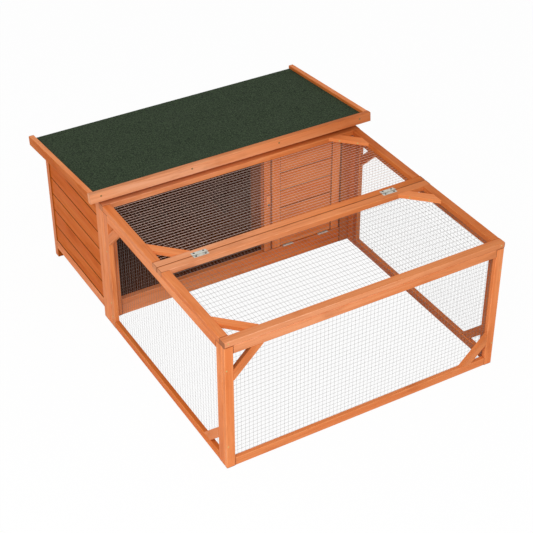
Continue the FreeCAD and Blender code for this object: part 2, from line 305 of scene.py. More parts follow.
class Softwood(EffectGroup):
    """Stained softwood: streaks along the grain, blotches of stain, knots, dark ends, worn edges that are
    lighter as wear and as a painted highlight, painted shade on the edges, and a painted fall-off of the
    light to the right.

    Place has the grain along X, and Facing is the surface's direction, turned alike. SEED_STEP is how far
    one seed moves the pattern, WANDER how far the grain sways, and the other triples are cells to a metre
    along and across the grain. A span is the range that is read and the range that is given.
    """

    SEED_STEP: Triple = (0.83, 0.37, 0.59)
    DRIFT: Triple = (2.2, 9.0, 9.0)
    WANDER: Pair = (0.02, 0.016)
    BROAD: Triple = (1.6, 46.0, 46.0)
    LINES: Triple = (3.0, 230.0, 230.0)
    PORES: Triple = (60.0, 1500.0, 1500.0)
    BLOTCH: Triple = (7.0, 22.0, 22.0)
    KNOTS: Triple = (4.5, 11.0, 11.0)
    RINGS: Triple = (20.0, 260.0, 420.0)
    CHIPS: Triple = (30.0, 90.0, 90.0)
    BROAD_SPAN: Range = (0.3, 0.72, 0.0, 1.0)
    LINE_SPAN: Range = (0.44, 0.78, 0.0, 0.30)
    BLOTCH_SPAN: Range = (0.5, 0.78, 0.0, 0.38)
    KNOT_SPAN: Range = (0.05, 0.11, 1.0, 0.0)
    HALO_SPAN: Range = (0.08, 0.3, 0.5, 0.0)
    END_SPAN: Range = (0.9, 0.98, 0.0, 1.0)
    EDGE_SPAN: Range = (0.9, 0.96, 1.0, 0.0)
    CHIP_SPAN: Range = (0.38, 0.62, 0.05, 0.4)
    JOINT_SPAN: Range = (0.0006, 0.0022, 0.75, 0.0)
    GREEN_SPAN: Range = (-0.5, 0.5, 0.135, 0.18)
    ROUGH_SPAN: Range = (0.3, 0.7, 0.46, 0.6)
    BLUE_LOSS = 0.45
    END_ROUGH = 0.2
    LINE_RELIEF = 0.6
    PORE_RELIEF = 0.4
    KNOT_RELIEF = 0.5
    KNOT_STRENGTH = 0.8
    KNOT_RARITY = 0.72
    KNOT_COLOUR: Colour = (92, 42, 18)
    CUT_COLOURS: tuple[Colour, Colour] = ((120, 60, 26), (168, 92, 46))
    # Painted shade: the colour that darkens the edges and the grooves between boards.
    GROOVE_SHADE_COLOUR: Colour = (58, 24, 8)
    JOINT_COLOUR: Colour = (70, 30, 10)
    HALF_RAIL = 0.46
    # The fall-off dims the wood and deepens its colour to the right: a painted fall-off of the light.
    FALLOFF_START = 0.05
    FALLOFF_DEPTH = 1.5
    FALLOFF_DIM = 0.25

    def __init__(self) -> None:
        """Make the sockets and link the effect, from the grain to the tone."""
        takes = {"Place": "Vector", "Facing": "Vector"}
        numbers = ("Seed", "Tone", "Stain", "Grime", "End", "Depth", "Fade", "Start", "Stop")
        takes |= dict.fromkeys(numbers, "Float")
        gives = {"Color": "Color", "Roughness": "Float", "Height": "Float"}
        super().__init__("stained_softwood", takes, gives)
        g, taken = self.graph, self.taken
        self.spot = g.vector("ADD", taken["Place"], g.scaled(self.SEED_STEP, taken["Seed"]))
        self.reach = g.node("SeparateXYZ", {0: taken["Place"]}).outputs[0]
        drift = self.pattern(self.spot, self.DRIFT)
        y, z = self.WANDER
        sway, lift = g.span(drift, 0.0, 1.0, -y, y), g.span(drift, 0.0, 1.0, z, -z)
        wander = g.node("CombineXYZ", {1: sway, 2: lift})
        bent = g.vector("ADD", self.spot, wander.outputs[0])
        lines = self.pattern(bent, self.LINES, rough=0.6)
        pores = self.pattern(self.spot, self.PORES, detail=1.0)
        blotch = self.pattern(self.spot, self.BLOTCH, detail=3.0, rough=0.6)
        knot, halo = self.knots(bent)
        end, edge = self.ends_and_edges()

        deep = self.between(BARE.deep, STAINED.deep)
        body = g.mix(
            g.span(self.pattern(bent, self.BROAD), *self.BROAD_SPAN),
            self.between(BARE.mid, STAINED.mid), self.between(BARE.pale, STAINED.pale),
        )
        body = g.mix(g.span(lines, *self.LINE_SPAN), body, deep)
        body = g.mix(g.span(blotch, *self.BLOTCH_SPAN), body, deep)
        body = g.mix(halo, body, deep)
        body = g.mix(g.math("MULTIPLY", knot, self.KNOT_STRENGTH), body, shade(self.KNOT_COLOUR))
        body = self.joints(self.worn(body, end, edge), end)

        self.give("Color", self.toned(body))
        sawn = g.math("MULTIPLY", end, self.END_ROUGH)
        self.give("Roughness", g.math("ADD", g.span(blotch, *self.ROUGH_SPAN), sawn))
        ridges = g.math("MULTIPLY", lines, self.LINE_RELIEF)
        pits = g.math("MULTIPLY", pores, self.PORE_RELIEF)
        dents = g.math("MULTIPLY", knot, self.KNOT_RELIEF)
        self.give("Height", g.math("SUBTRACT", g.math("ADD", ridges, pits), dents))

    def pattern(self, place: Socket, stretch: Triple, detail: float = 2.0, rough: float = 0.5) -> Socket:
        """Give noise that is stretched along the grain."""
        return self.graph.noise(self.graph.vector("MULTIPLY", place, stretch), 1.0, detail, rough)

    def between(self, bare: Colour, stained: Colour) -> Socket:
        """Mix bare and stained wood by the Stain input."""
        return self.graph.mix(self.taken["Stain"], shade(bare), shade(stained))

    def knots(self, bent: Socket) -> tuple[Socket, Socket]:
        """Scatter rare knots.

        Args:
            bent: The place, wandering along the grain.

        Returns:
            Masks of the knots and of the dark halos round them.
        """
        g = self.graph
        place = g.vector("MULTIPLY", bent, self.KNOTS)
        cells = g.node("TexVoronoi", {"Vector": place, "Scale": 1.0}).outputs
        chance = g.node("SeparateColor", {0: cells["Color"]}).outputs[0]
        rare = g.math("GREATER_THAN", chance, self.KNOT_RARITY)
        knot = g.math("MULTIPLY", g.span(cells["Distance"], *self.KNOT_SPAN), rare)
        halo = g.math("MULTIPLY", g.span(cells["Distance"], *self.HALO_SPAN), rare)
        return knot, halo

    def ends_and_edges(self) -> tuple[Socket, Socket]:
        """Find the end grain and the rounded edges by the way that they face.

        Returns:
            Masks of the ends and of the edges.
        """
        g = self.graph
        facing = g.node("SeparateXYZ", {0: self.taken["Facing"]}).outputs
        along, side, up = [g.math("ABSOLUTE", part) for part in facing]
        flat = g.math("MAXIMUM", along, g.math("MAXIMUM", side, up))
        return g.span(along, *self.END_SPAN), g.span(flat, *self.EDGE_SPAN)

    def worn(self, body: Socket, end: Socket, edge: Socket) -> Socket:
        """Add the end grain's rings, the worn edges, which are lighter as wear and as a painted highlight,
        and the painted shade that darkens the edges.

        Args:
            body: The stained wood's colour.
            end, edge: Masks of the ends and of the edges.

        Returns:
            The colour with wear.
        """
        g, taken = self.graph, self.taken
        dark, pale = self.CUT_COLOURS
        cut = g.mix(self.pattern(self.spot, self.RINGS), shade(dark), shade(pale))
        body = g.mix(g.math("MULTIPLY", end, taken["End"]), body, cut)
        chips = g.span(self.pattern(self.spot, self.CHIPS), *self.CHIP_SPAN)
        # The edges lighten as wear and as a painted highlight.
        body = g.mix(g.math("MULTIPLY", edge, chips), body, self.between(BARE.worn, STAINED.worn))
        # Painted shade darkens the edges and the grooves between boards.
        return g.mix(g.math("MULTIPLY", edge, taken["Grime"]), body, shade(self.GROOVE_SHADE_COLOUR))

    def joints(self, body: Socket, end: Socket) -> Socket:
        """Darken a fine line where the stick's ends meet other sticks.

        Args:
            body: The wood's colour.
            end: Mask of the end grain, which has no line.

        Returns:
            The colour with the lines.
        """
        g = self.graph
        offsets = [g.math("SUBTRACT", self.reach, self.taken[name]) for name in ("Start", "Stop")]
        gap = g.math("MINIMUM", *[g.math("ABSOLUTE", offset) for offset in offsets])
        joint = g.span(gap, *self.JOINT_SPAN)
        joint = g.math("MULTIPLY", joint, g.math("SUBTRACT", 1.0, end))
        return g.mix(joint, body, shade(self.JOINT_COLOUR))

    def toned(self, body: Socket) -> Socket:
        """Set how light and how saturated the wood is, and let it deepen and dim to the right by its
        fall-off input, a painted fall-off of the light.

        Args:
            body: The wood's colour.

        Returns:
            The toned colour.
        """
        g, taken = self.graph, self.taken
        across = g.span(self.reach, -self.HALF_RAIL, self.HALF_RAIL, -self.FALLOFF_DEPTH, self.FALLOFF_DEPTH)
        depth = g.math("ADD", taken["Depth"], g.math("MULTIPLY", across, taken["Fade"]))
        green = g.math("MULTIPLY", depth, g.span(depth, *self.GREEN_SPAN))
        blue = g.math("MULTIPLY", depth, self.BLUE_LOSS)
        warm = g.node("CombineXYZ", {
            0: 1.0, 1: g.math("SUBTRACT", 1.0, green), 2: g.math("SUBTRACT", 1.0, blue),
        }).outputs[0]
        # Painted fall-off of the light: the wood dims towards the right.
        loss = g.span(self.reach, self.FALLOFF_START, self.HALF_RAIL, 0.0, self.FALLOFF_DIM)
        dim = g.math("SUBTRACT", 1.0, g.math("MULTIPLY", loss, taken["Fade"]))
        return g.scaled(g.vector("MULTIPLY", body, warm), g.math("MULTIPLY", taken["Tone"], dim))


class Grime(EffectGroup):
    """The uneven dirt that lies on metal and felt, as a mask from 0 to Amount."""

    CLOUD_SPAN: Range = (0.42, 0.7, 0.0, 1.0)

    def __init__(self) -> None:
        """Make the sockets and link the clouds of grime."""
        takes = {"Place": "Vector", "Size": "Float", "Amount": "Float"}
        super().__init__("grime", takes, {"Mask": "Float"})
        g, taken = self.graph, self.taken
        cloud = g.noise(g.scaled(taken["Place"], taken["Size"]), 1.0, detail=4.0, rough=0.65)
        self.give("Mask", g.math("MULTIPLY", g.span(cloud, *self.CLOUD_SPAN), taken["Amount"]))


@dataclass
class Effects:
    """The shared effects, each built once."""

    timber: Softwood = field(default_factory=Softwood)
    grime: Grime = field(default_factory=Grime)


class Canvas:
    """A new material: its graph, shader and coordinates, and the shared effects."""

    BUMP_STRENGTH = 0.6

    def __init__(self, material: bpy.types.Material, effects: Effects) -> None:
        """Empty a material and give it one shader.

        Args:
            material: The material.
            effects: The shared effects.
        """
        material.use_nodes = True
        self.effects = effects
        self.graph = Graph(material.node_tree)
        self.shader = self.graph.node("BsdfPrincipled")
        self.graph.node("OutputMaterial", {"Surface": self.shader.outputs[0]})
        self.coords = self.graph.node("TexCoord").outputs

    def put(self, socket: str, value: Any) -> None:
        """Link or set one of the shader's inputs."""
        self.graph.put(self.shader.inputs[socket], value)

    def bump(self, height: Socket, depth: float) -> None:
        """Give the shader a relief.

        Args:
            height: The relief's height, 0 to 1.
            depth: The relief's depth in metres.
        """
        inputs = {"Height": height, "Strength": self.BUMP_STRENGTH, "Distance": depth}
        self.put("Normal", self.graph.node("Bump", inputs).outputs[0])


@dataclass(frozen=True)
class Finish:
    """A finish that makes its own material."""

    name: str

    def material(self, effects: Effects) -> bpy.types.Material:
        """Give the finish's material, made at its first use.

        Args:
            effects: The shared effects.

        Returns:
            The material.
        """
        known = bpy.data.materials.get(self.name)
        if known is not None:
            return known
        made = bpy.data.materials.new(self.name)
        self.dress(Canvas(made, effects))
        return made

    def dress(self, canvas: Canvas) -> None:
        """Link the finish's nodes to the shader; each kind of finish has its own."""
        raise NotImplementedError


NO_JOINTS: Pair = (-9.0, 9.0)


@dataclass(frozen=True)
class TimberFinish(Finish):
    """Stained softwood with its grain along the stick.

    tone is how light it is, stain how much of the stain it has, grime how dark its edges are as painted
    shade, end how much the end grain shows, depth how saturated it is (paler below 0), fade how much it
    deepens to the right as a painted fall-off of the light, and ends where it meets other sticks.
    """

    grain: Grain = Grain.ALONG_X
    seed: float = 0.0
    tone: float = 1.0
    stain: float = 1.0
    grime: float = 0.0
    end: float = 0.3
    depth: float = 0.1
    gloss: float = 0.16
    fade: float = 0.0
    ends: Pair = NO_JOINTS
    relief: float = 0.0006

    def dress(self, canvas: Canvas) -> None:
        """Turn the coordinates along the grain and link the softwood effect.

        Args:
            canvas: The new material.
        """
        graph, turn = canvas.graph, self.grain.turn()
        values = {
            name: graph.node("Mapping", {"Vector": canvas.coords[source], "Rotation": turn}).outputs[0]
            for name, source in (("Place", "Object"), ("Facing", "Normal"))
        }
        for name in ("seed", "tone", "stain", "grime", "end", "depth", "fade"):
            values[name.capitalize()] = getattr(self, name)
        values["Start"], values["Stop"] = self.ends
        wood = canvas.effects.timber.place(graph, values)
        canvas.put("Base Color", wood["Color"])
        canvas.put("Roughness", wood["Roughness"])
        canvas.put("Specular IOR Level", self.gloss)
        canvas.bump(wood["Height"], self.relief)


@dataclass(frozen=True)
class MetalFinish(Finish):
    """Plated steel, bright where clean and dull where grimy."""

    clean: Colour = (205, 206, 204)
    dull: Colour = (128, 128, 126)
    smooth: float = 0.5
    grime: float = 0.5
    metal: float = 0.4
    grime_scale: float = 140.0
    grime_rough: float = 0.3
    pit_scale: float = 900.0
    pit_depth: float = 0.0001

    def dress(self, canvas: Canvas) -> None:
        """Mix clean and dull metal by the grime effect.

        Args:
            canvas: The new material.
        """
        graph, place = canvas.graph, canvas.coords["Object"]
        values = {"Place": place, "Size": self.grime_scale, "Amount": self.grime}
        mask = canvas.effects.grime.place(graph, values)["Mask"]
        canvas.put("Base Color", graph.mix(mask, shade(self.clean), shade(self.dull)))
        canvas.put("Roughness", graph.span(mask, 0.0, 1.0, self.smooth, self.smooth + self.grime_rough))
        canvas.put("Metallic", self.metal)
        canvas.bump(graph.noise(place, self.pit_scale), self.pit_depth)


@dataclass(frozen=True)
class FeltFinish(Finish):
    """Green mineral felt: fine granules, a few pale ones, and faint patches."""

    shadow: Colour = (22, 33, 20)
    green: Colour = (54, 69, 47)
    bright: Colour = (100, 114, 88)
    black: Colour = (8, 12, 8)
    worn: Colour = (62, 72, 56)
    grain_scale: float = 620.0
    clump_scale: float = 210.0
    patch_scale: float = 9.0
    patch_share: float = 0.15
    clump_span: Range = (0.4, 0.6, 0.0, 1.0)
    bright_span: Range = (0.5, 0.76, 0.0, 0.75)
    black_span: Range = (0.26, 0.46, 0.6, 0.0)
    rough_span: Range = (0.3, 0.7, 0.95, 0.8)
    gloss: float = 0.15
    relief: float = 0.0012

    def dress(self, canvas: Canvas) -> None:
        """Build the granules in three sizes and link them.

        Args:
            canvas: The new material.
        """
        graph, place = canvas.graph, canvas.coords["Object"]
        grains = graph.noise(place, self.grain_scale, detail=3.0, rough=0.7)
        clumps = graph.noise(place, self.clump_scale, detail=3.0, rough=0.6)
        values = {"Place": place, "Size": self.patch_scale, "Amount": self.patch_share}
        patches = canvas.effects.grime.place(graph, values)["Mask"]
        body = graph.mix(graph.span(clumps, *self.clump_span), shade(self.shadow), shade(self.green))
        body = graph.mix(graph.span(grains, *self.bright_span), body, shade(self.bright))
        body = graph.mix(graph.span(grains, *self.black_span), body, shade(self.black))
        canvas.put("Base Color", graph.mix(patches, body, shade(self.worn)))
        canvas.put("Roughness", graph.span(grains, *self.rough_span))
        canvas.put("Specular IOR Level", self.gloss)
        canvas.bump(graph.math("ADD", grains, clumps), self.relief)


# One galvanised wire in three copies: the top net's and the window net's are lighter and warmer, painted
# light standing in for how lit those wires look.
WIRE = MetalFinish("galvanised_wire", (126, 122, 117), (88, 85, 82))
LIT_WIRE = MetalFinish("lit_wire", (216, 188, 174), (170, 147, 136))
ROOM_WIRE = MetalFinish("room_wire", (168, 134, 122), (120, 96, 88))
SCREW = MetalFinish("screw_head", (96, 94, 90), (44, 42, 40), smooth=0.4, grime=0.8, metal=0.9)
ZINC = MetalFinish("zinc_plate", (206, 205, 196), (140, 139, 130), metal=0.5)
NAIL = MetalFinish("nail_head", (214, 178, 108), (148, 114, 60), smooth=0.45, metal=0.3)
DULL_NAIL = MetalFinish("dull_nail_head", (132, 108, 62), (92, 74, 42), metal=0.2)
FELT = FeltFinish("mineral_felt")
# Painted shade: the dark faces in the gap between the lid and the fixed top.
SEAM_SHADE = TimberFinish("timber_seam_shade", seed=1.9, tone=0.42, depth=0.6)

LENGTHWISE = {Grain.ALONG_X: 0, Grain.ALONG_Y: 1, Grain.UPRIGHT: 2}
TIMBER_TONES = (1.0, 0.95, 1.04, 0.92, 1.02, 0.97)
SEED_COUNT = 97
SEED_SPACING = 0.37


def timber(node: str, grain: Grain, tone: float = 1.0, joints: bool = True, **more: float) -> TimberFinish:
    """Give a stick its own timber, with its own streaks and a slightly different tone.

    Args:
        node: The stick's node, or a name for some of its faces.
        grain: Which way its grain runs.
        tone: How light it is.
        joints: Whether its ends meet other sticks and show a dark line there.
        more: Other fields of the finish.

    Returns:
        The finish.
    """
    number = sum((i + 3) * ord(letter) for i, letter in enumerate(node))
    lightness = tone * TIMBER_TONES[number % len(TIMBER_TONES)]
    ends = NO_JOINTS
    if joints and grain in LENGTHWISE and node in frame["nodes"]:
        low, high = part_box(node)
        ends = (low[LENGTHWISE[grain]], high[LENGTHWISE[grain]])
    seed = (number % SEED_COUNT) * SEED_SPACING
    return TimberFinish(f"timber_{node}", grain, seed, lightness, ends=ends, **more)


class Bench:
    """Modelling steps that the pieces share."""

    @staticmethod
    def clear() -> None:
        """Leave edit mode and deselect everything."""
        if bpy.context.object is not None and bpy.context.object.mode != "OBJECT":
            bpy.ops.object.mode_set(mode="OBJECT")
        bpy.ops.object.select_all(action="DESELECT")

    @staticmethod
    def pick(piece: bpy.types.Object) -> None:
        """Make one object the only selected one, and the active one.

        Args:
            piece: The object.
        """
        Bench.clear()
        piece.select_set(True)
        bpy.context.view_layer.objects.active = piece

    @staticmethod
    def name(name: str) -> bpy.types.Object:
        """Name the object that was just added, and its mesh.

        Args:
            name: The name of both.

        Returns:
            The object.
        """
        made = bpy.context.object
        made.name = name
        made.data.name = name
        return made

    @staticmethod
    def settle(piece: bpy.types.Object) -> bpy.types.Object:
        """Move an object's place, turn and size into its mesh.

        Args:
            piece: The object.

        Returns:
            The same object.
        """
        Bench.pick(piece)
        bpy.ops.object.transform_apply(location=True, rotation=True, scale=True)
        return piece

    @staticmethod
    def modify(piece: bpy.types.Object, kind: str, **settings: Any) -> None:
        """Add a modifier and apply it.

        Args:
            piece: The object.
            kind: The modifier's type.
            settings: The modifier's properties.
        """
        Bench.pick(piece)
        added = piece.modifiers.new(kind.lower(), kind)
        for name, value in settings.items():
            setattr(added, name, value)
        bpy.ops.object.modifier_apply(modifier=added.name)

    @staticmethod
    def faces(piece: bpy.types.Object, test: FaceTest) -> None:
        """Go into edit mode with the faces selected that pass a test.

        Args:
            piece: The object.
            test: Takes a face's centre and normal.
        """
        Bench.pick(piece)
        bpy.ops.object.mode_set(mode="EDIT")
        bpy.ops.mesh.select_mode(type="FACE")
        bpy.ops.mesh.select_all(action="DESELECT")
        bpy.ops.object.mode_set(mode="OBJECT")
        for face in piece.data.polygons:
            face.select = test(face.center, face.normal)
        bpy.ops.object.mode_set(mode="EDIT")

    @staticmethod
    def copy(piece: bpy.types.Object, name: str, place: Matrix) -> bpy.types.Object:
        """Copy an object with its own mesh to a place.

        Args:
            piece: The object that is modelled once.
            name: The copy's name.
            place: Where the copy stands.

        Returns:
            The copy, settled.
        """
        Bench.pick(piece)
        bpy.ops.object.duplicate(linked=False)
        made = Bench.name(name)
        made.matrix_world = place
        return Bench.settle(made)

    @staticmethod
    def join(pieces: Sequence[bpy.types.Object], name: str) -> bpy.types.Object:
        """Join objects into the first one.

        Args:
            pieces: The objects.
            name: The joined object's name.

        Returns:
            The joined object.
        """
        Bench.pick(pieces[0])
        for piece in pieces:
            piece.select_set(True)
        bpy.ops.object.join()
        return Bench.name(name)

    @staticmethod
    def remove(piece: bpy.types.Object) -> None:
        """Delete a pattern piece once its copies are made."""
        Bench.pick(piece)
        bpy.ops.object.delete()


@dataclass
class Fasteners:
    """Nail heads and cross-slotted screw heads, each modelled once and copied."""

    nail_radius: float = 0.0030
    nail_height: float = 0.0004
    nail_sides: int = 12
    nail_rounding: float = 0.6
    screw_radius: float = 0.0030
    screw_height: float = 0.0008
    screw_sides: int = 16
    screw_rounding: float = 0.5
    slot_width: float = 0.0008
    slot_reach: float = 1.3
    spin: float = 0.7

    @staticmethod
    def head(name: str, sides: int, radius: float, height: float, rounding: float) -> bpy.types.Object:
        """Model a round head with its underside on the ground, facing up, and round its rim.

        Args:
            name: The head's name.
            sides: How many sides stand for its circle.
            radius, height: Its size.
            rounding: Share of the height that the rim is rounded by.

        Returns:
            The head.
        """
        Bench.clear()
        middle = (0.0, 0.0, height / 2.0)
        bpy.ops.mesh.primitive_cylinder_add(vertices=sides, radius=radius, depth=height, location=middle)
        head = Bench.settle(Bench.name(name))
        Bench.faces(head, looks(UP))
        bpy.ops.mesh.bevel(offset=height * rounding, segments=2, affect="EDGES")
        bpy.ops.object.mode_set(mode="OBJECT")
        return head

    def nail(self) -> bpy.types.Object:
        """Model one nail head."""
        size = (self.nail_sides, self.nail_radius, self.nail_height, self.nail_rounding)
        return self.head("nail_pattern", *size)

    def screw(self) -> bpy.types.Object:
        """Model one screw head and cut its crossed slots.

        Returns:
            The screw head.
        """
        size = (self.screw_sides, self.screw_radius, self.screw_height, self.screw_rounding)
        head = self.head("screw_pattern", *size)
        for turn in (0.0, math.pi / 2.0):
            Bench.clear()
            top = (0.0, 0.0, self.screw_height)
            bpy.ops.mesh.primitive_cube_add(size=1.0, location=top, rotation=(0.0, 0.0, turn))
            blade = Bench.name("slot_pattern")
            blade.scale = (self.screw_radius * self.slot_reach, self.slot_width, self.screw_height)
            Bench.settle(blade)
            Bench.modify(head, "BOOLEAN", operation="DIFFERENCE", object=blade, solver="EXACT")
            Bench.remove(blade)
        return head

    def spread(self, pattern: bpy.types.Object, name: str, places: Places) -> bpy.types.Object:
        """Copy a pattern to its places and join the copies.

        Args:
            pattern: The fastener that is modelled once.
            name: The joined piece's name.
            places: Point and outward direction of each copy.

        Returns:
            The joined piece.
        """
        copies = []
        for index, (point, out) in enumerate(places):
            turn = Vector(UP).rotation_difference(Vector(out)).to_matrix().to_4x4()
            spin = Matrix.Rotation(self.spin * index, 4, "Z")
            copies.append(Bench.copy(pattern, f"{name}_{index}", Matrix.Translation(point) @ turn @ spin))
        return Bench.join(copies, name)


@dataclass
class Assembly:
    """A sub-assembly: the CAD nodes that it dresses and the pieces that it adds."""

    effects: Effects
    body: Body = Body.HUTCH
    fasteners: Fasteners = field(default_factory=Fasteners)
    nail_seat: float = 0.00036
    seam_depth: float = 0.0025

    @property
    def half_width(self) -> float:
        """Give half the width of the run, the lid and the house."""
        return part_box("run_posts")[1].x

    @property
    def front_nail_y(self) -> float:
        """Give where the front's nail heads are seated, so that they are flush with its face."""
        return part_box("front_stile_left")[0].y + self.nail_seat

    def dress(self) -> None:
        """Finish the CAD nodes; each assembly has its own."""
        raise NotImplementedError

    def build(self) -> None:
        """Model the pieces that CAD doesn't have; an assembly without any keeps this."""
        log.info("%s adds no pieces", type(self).__name__)

    def paint(self, node: str, finish: Finish) -> None:
        """Give a CAD node its finish.

        Args:
            node: The node's name.
            finish: The finish.
        """
        target = frame["nodes"][node]
        target.data.materials.clear()
        target.data.materials.append(finish.material(self.effects))
        log.info("finish %s on %s", finish.name, node)

    def paint_part(self, node: str, finish: Finish, test: FaceTest) -> None:
        """Give some faces of a CAD node another finish.

        Args:
            node: The node's name.
            finish: The finish of those faces.
            test: Takes a face's centre and normal.
        """
        mesh = frame["nodes"][node].data
        mesh.materials.append(finish.material(self.effects))
        number = len(mesh.materials) - 1
        for face in mesh.polygons:
            if test(face.center, face.normal):
                face.material_index = number

    def keep(self, piece: bpy.types.Object, finish: Finish, slot: Slot) -> None:
        """Finish a new piece and let it ride on this assembly's body.

        Args:
            piece: The piece.
            finish: Its finish.
            slot: The record's material slot; not used.
        """
        piece.data.materials.clear()
        piece.data.materials.append(finish.material(self.effects))
        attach(piece, self.body.value)
        log.info("piece %s: %d faces, on %s", piece.name, len(piece.data.polygons), self.body.value)

    def drive_nails(self, name: str, places: Places, finish: Finish) -> None:
        """Add the assembly's nail heads as one piece.

        Args:
            name: The piece's name.
            places: Point and outward direction of each nail.
            finish: The nails' finish.
        """
        pattern = self.fasteners.nail()
        nails = self.fasteners.spread(pattern, name, places)
        Bench.remove(pattern)
        self.keep(nails, finish, Slot.ZINC)


@dataclass
class WireNet:
    """Welded wire net, slightly uneven, in place of a CAD net.

    Pitches and radii are those of the outer wires and of the inner ones.
    """

    assembly: Assembly
    node: str
    across: Axis
    inward: float
    outer: Axis = Axis.X
    pitches: Pair = (0.0127, 0.0127)
    radii: Pair = (0.00029, 0.00026)
    finish: MetalFinish = WIRE
    sides: int = 6
    nesting: float = 0.85
    wave: float = 0.0008
    wave_size: float = 0.16
    uneven: float = 0.00012
    step: float = 0.055
    smooth_angle: float = 50.0

    def wires(self, run: Axis, spread: Axis, depth: float, pitch: float, radius: float) -> bpy.types.Object:
        """Model one wire and repeat it over the net.

        Args:
            run: The way that the wire runs.
            spread: The way that the wires are spaced.
            depth: Where the wires' middle lies across the net.
            pitch: The distance from wire to wire.
            radius: The wires' radius.

        Returns:
            All the wires of that way.
        """
        low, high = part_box(self.node)
        length = high[run.value] - low[run.value]
        count = int((high[spread.value] - low[spread.value]) / pitch) + 1
        place = (low + high) / 2.0
        place[spread.value] -= pitch * (count - 1) / 2.0
        place[self.across.value] = depth
        turn = Vector(UP).rotation_difference(run.unit()).to_euler()
        Bench.clear()
        bpy.ops.mesh.primitive_cylinder_add(
            vertices=self.sides, radius=radius, depth=length, end_fill_type="TRIFAN",
            location=place, rotation=turn,
        )
        wire = Bench.settle(Bench.name(f"{self.node}_wire"))
        cuts = max(1, round(length / self.step))
        for index in range(1, cuts):
            point = run.unit() * (low[run.value] + length * index / cuts)
            Bench.faces(wire, lambda centre, normal: True)
            bpy.ops.mesh.bisect(plane_co=point, plane_no=run.unit())
            bpy.ops.object.mode_set(mode="OBJECT")
        Bench.modify(
            wire, "ARRAY", count=count, use_relative_offset=False, use_constant_offset=True,
            constant_offset_displace=spread.unit() * pitch,
        )
        return wire

    def build(self) -> None:
        """Model both layers of wires, join them, make them uneven and put them in the CAD net's place."""
        low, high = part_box(self.node)
        inner = next(axis for axis in Axis if axis not in (self.across, self.outer))
        face = low[self.across.value] if self.inward > 0 else high[self.across.value]
        near = face + self.inward * self.radii[0]
        far = near + self.inward * sum(self.radii) * self.nesting
        layers = [
            self.wires(self.outer, inner, near, self.pitches[0], self.radii[0]),
            self.wires(inner, self.outer, far, self.pitches[1], self.radii[1]),
        ]
        net = Bench.join(layers, f"{self.node}_wires")
        clouds = bpy.data.textures.new(f"{self.node}_waves", "CLOUDS")
        clouds.noise_scale = self.wave_size
        shifts = [(self.across, self.inward * self.wave, 0.0)]
        shifts += [(way, self.uneven, 0.5) for way in (self.outer, inner)]
        for way, strength, middle in shifts:
            Bench.modify(
                net, "DISPLACE", texture=clouds, texture_coords="LOCAL", direction=way.name,
                strength=strength, mid_level=middle,
            )
        Bench.pick(net)
        bpy.ops.object.shade_smooth_by_angle(angle=math.radians(self.smooth_angle))
        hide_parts(self.node)
        self.assembly.keep(net, self.finish, Slot.WIRE)


@dataclass
class BraceNails:
    """Nails in the sides of two level braces that face the middle of their panel."""

    node: str
    along: float = 0.03
    squareness: float = 0.99
    rim_depth: float = 0.0005

    def side(self, sign: float) -> Places:
        """Find two nail places on one brace.

        Args:
            sign: -1 for the side that faces left and front, 1 for the one that faces right and back.

        Returns:
            Point and outward direction of each nail.
        """
        mesh = frame["nodes"][self.node].data
        out = Vector((sign, sign, 0.0)).normalized()
        middle = sum(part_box(self.node), Vector()) / 2.0
        points = [
            mesh.vertices[i].co for face in mesh.polygons for i in face.vertices
            if face.normal.dot(out) > self.squareness and (face.center - middle).dot(out) < 0.0
        ]
        inmost = max(point.dot(out) for point in points)
        rim = [point for point in points if point.dot(out) > inmost - self.rim_depth]
        low, high = [Vector(tuple(pick(p[i] for p in rim) for i in range(3))) for pick in (min, max)]
        way = Vector((out.y, -out.x, 0.0))
        return [(tuple((low + high) / 2.0 + way * self.along * end), tuple(out)) for end in BOTH_SIDES]

    def places(self) -> Places:
        """Give the places on both braces."""
        return self.side(-1.0) + self.side(1.0)


